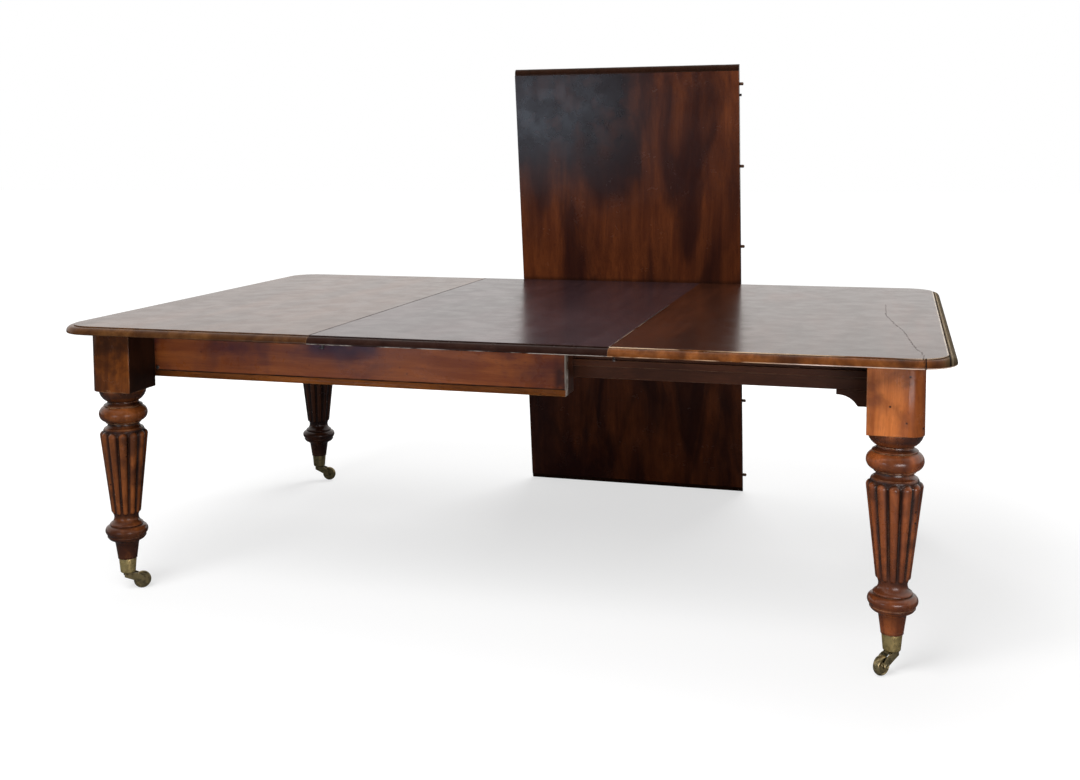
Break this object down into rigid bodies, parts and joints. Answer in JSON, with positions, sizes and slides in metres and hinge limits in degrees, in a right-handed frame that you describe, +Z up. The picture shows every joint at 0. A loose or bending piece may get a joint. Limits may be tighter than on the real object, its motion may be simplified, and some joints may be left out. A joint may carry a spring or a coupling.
{
  "type": "extending dining table",
  "caption": "Extending dining table on turned, reeded legs with brass castors: a pull-out telescopic underframe, one loose leaf fitted and a spare leaf leaning behind.",
  "frame": {"origin": "on the floor, under the centre of the box round the table and its spare leaf", "axes": "+X along the table towards the half that slides out, +Y from the front to the back where the spare leaf stands, +Z up"},
  "size_m": [2.228, 1.5798, 1.4465],
  "materials": {
    "polished_mahogany": "French-polished dark mahogany, worn at the lower arris",
    "frame_mahogany": "polished red-brown mahogany",
    "leg_mahogany": "polished warm mahogany, dark in the reeds",
    "slide_wood": "plain planed hardwood, waxed where it slides",
    "peg_wood": "plain turned hardwood",
    "castor_brass": "dull antique brass",
    "fixing_steel": "old steel",
    "hook_iron": "dark iron"
  },
  "bodies": {
    "left_half": {"left_top": "polished_mahogany", "left_top_pegs": "peg_wood", "left_top_batten": "slide_wood", "left_top_screws": "fixing_steel", "front_apron": "frame_mahogany", "front_apron_bead": "frame_mahogany", "back_apron": "frame_mahogany", "back_apron_bead": "frame_mahogany", "left_end_rail": "frame_mahogany", "left_end_bead": "frame_mahogany", "left_leg_bolts": "fixing_steel", "apron_corner_screws": "fixing_steel", "front_left_leg": "leg_mahogany", "back_left_leg": "leg_mahogany", "front_left_cap": "castor_brass", "back_left_cap": "castor_brass", "left_swivel_pins": "fixing_steel"},
    "middle_slides": {"front_middle_slide": "slide_wood", "back_middle_slide": "slide_wood", "middle_cross_rail": "slide_wood"},
    "right_half": {"right_top": "polished_mahogany", "right_top_studs": "hook_iron", "right_top_screws": "fixing_steel", "right_end_rail": "frame_mahogany", "right_end_bead": "frame_mahogany", "front_inner_rail": "slide_wood", "back_inner_rail": "slide_wood", "inner_cross_rail": "slide_wood", "right_cross_rail": "slide_wood", "front_bracket": "frame_mahogany", "back_bracket": "frame_mahogany", "front_right_leg": "leg_mahogany", "back_right_leg": "leg_mahogany", "front_right_cap": "castor_brass", "back_right_cap": "castor_brass", "right_swivel_pins": "fixing_steel"},
    "fitted_leaf": {"fitted_leaf": "polished_mahogany", "fitted_leaf_pegs": "peg_wood", "fitted_leaf_hooks": "hook_iron"},
    "spare_leaf": {"spare_leaf": "polished_mahogany", "spare_leaf_pegs": "peg_wood", "spare_leaf_hook": "hook_iron"},
    "front_left_castor": {"front_left_fork": "castor_brass", "front_left_axle": "fixing_steel"},
    "front_left_wheel": {"front_left_wheel": "castor_brass"},
    "front_right_castor": {"front_right_fork": "castor_brass", "front_right_axle": "fixing_steel"},
    "front_right_wheel": {"front_right_wheel": "castor_brass"},
    "back_left_castor": {"back_left_fork": "castor_brass", "back_left_axle": "fixing_steel"},
    "back_left_wheel": {"back_left_wheel": "castor_brass"},
    "back_right_castor": {"back_right_fork": "castor_brass", "back_right_axle": "fixing_steel"},
    "back_right_wheel": {"back_right_wheel": "castor_brass"}
  },
  "joints": [
    {"name": "table_extension", "type": "slide", "parent": "left_half", "child": "right_half", "axis": [1, 0, 0], "range_m": [0, 0.76]},
    {"name": "middle_slide_travel", "type": "slide", "parent": "left_half", "child": "middle_slides", "axis": [1, 0, 0], "range_m": [0, 0.494]},
    {"name": "fitted_leaf_travel", "type": "slide", "parent": "left_half", "child": "fitted_leaf", "axis": [1, 0, 0], "range_m": [0, 0.38]},
    {"name": "spare_leaf_lift", "type": "slide", "parent": "left_half", "child": "spare_leaf", "axis": [0, -0.1374, 0.9905], "range_m": [0, 0.3]},
    {"name": "front_left_swivel", "type": "hinge", "parent": "left_half", "child": "front_left_castor", "pos_m": [-0.987, -0.66289, 0.04], "axis": [0, 0, 1], "continuous": true},
    {"name": "front_left_roll", "type": "hinge", "parent": "front_left_castor", "child": "front_left_wheel", "pos_m": [-0.95908, -0.63862, 0.023], "axis": [0.6561, -0.7547, 0], "continuous": true},
    {"name": "front_right_swivel", "type": "hinge", "parent": "right_half", "child": "front_right_castor", "pos_m": [0.987, -0.66339, 0.04], "axis": [0, 0, 1], "continuous": true},
    {"name": "front_right_roll", "type": "hinge", "parent": "front_right_castor", "child": "front_right_wheel", "pos_m": [0.96525, -0.69332, 0.023], "axis": [-0.809, 0.5878, 0], "continuous": true},
    {"name": "back_left_swivel", "type": "hinge", "parent": "left_half", "child": "back_left_castor", "pos_m": [-0.987, 0.54311, 0.04], "axis": [0, 0, 1], "continuous": true},
    {"name": "back_left_roll", "type": "hinge", "parent": "back_left_castor", "child": "back_left_wheel", "pos_m": [-0.95014, 0.54634, 0.023], "axis": [0.0872, -0.9962, 0], "continuous": true},
    {"name": "back_right_swivel", "type": "hinge", "parent": "right_half", "child": "back_right_castor", "pos_m": [0.987, 0.54361, 0.04], "axis": [0, 0, 1], "continuous": true},
    {"name": "back_right_roll", "type": "hinge", "parent": "back_right_castor", "child": "back_right_wheel", "pos_m": [0.95433, 0.56098, 0.023], "axis": [0.4695, 0.8829, 0], "continuous": true}
  ],
  "couplings": [
    {"joint": "middle_slide_travel", "follows": "table_extension", "ratio": 0.65},
    {"joint": "fitted_leaf_travel", "follows": "table_extension", "ratio": 0.5}
  ]
}
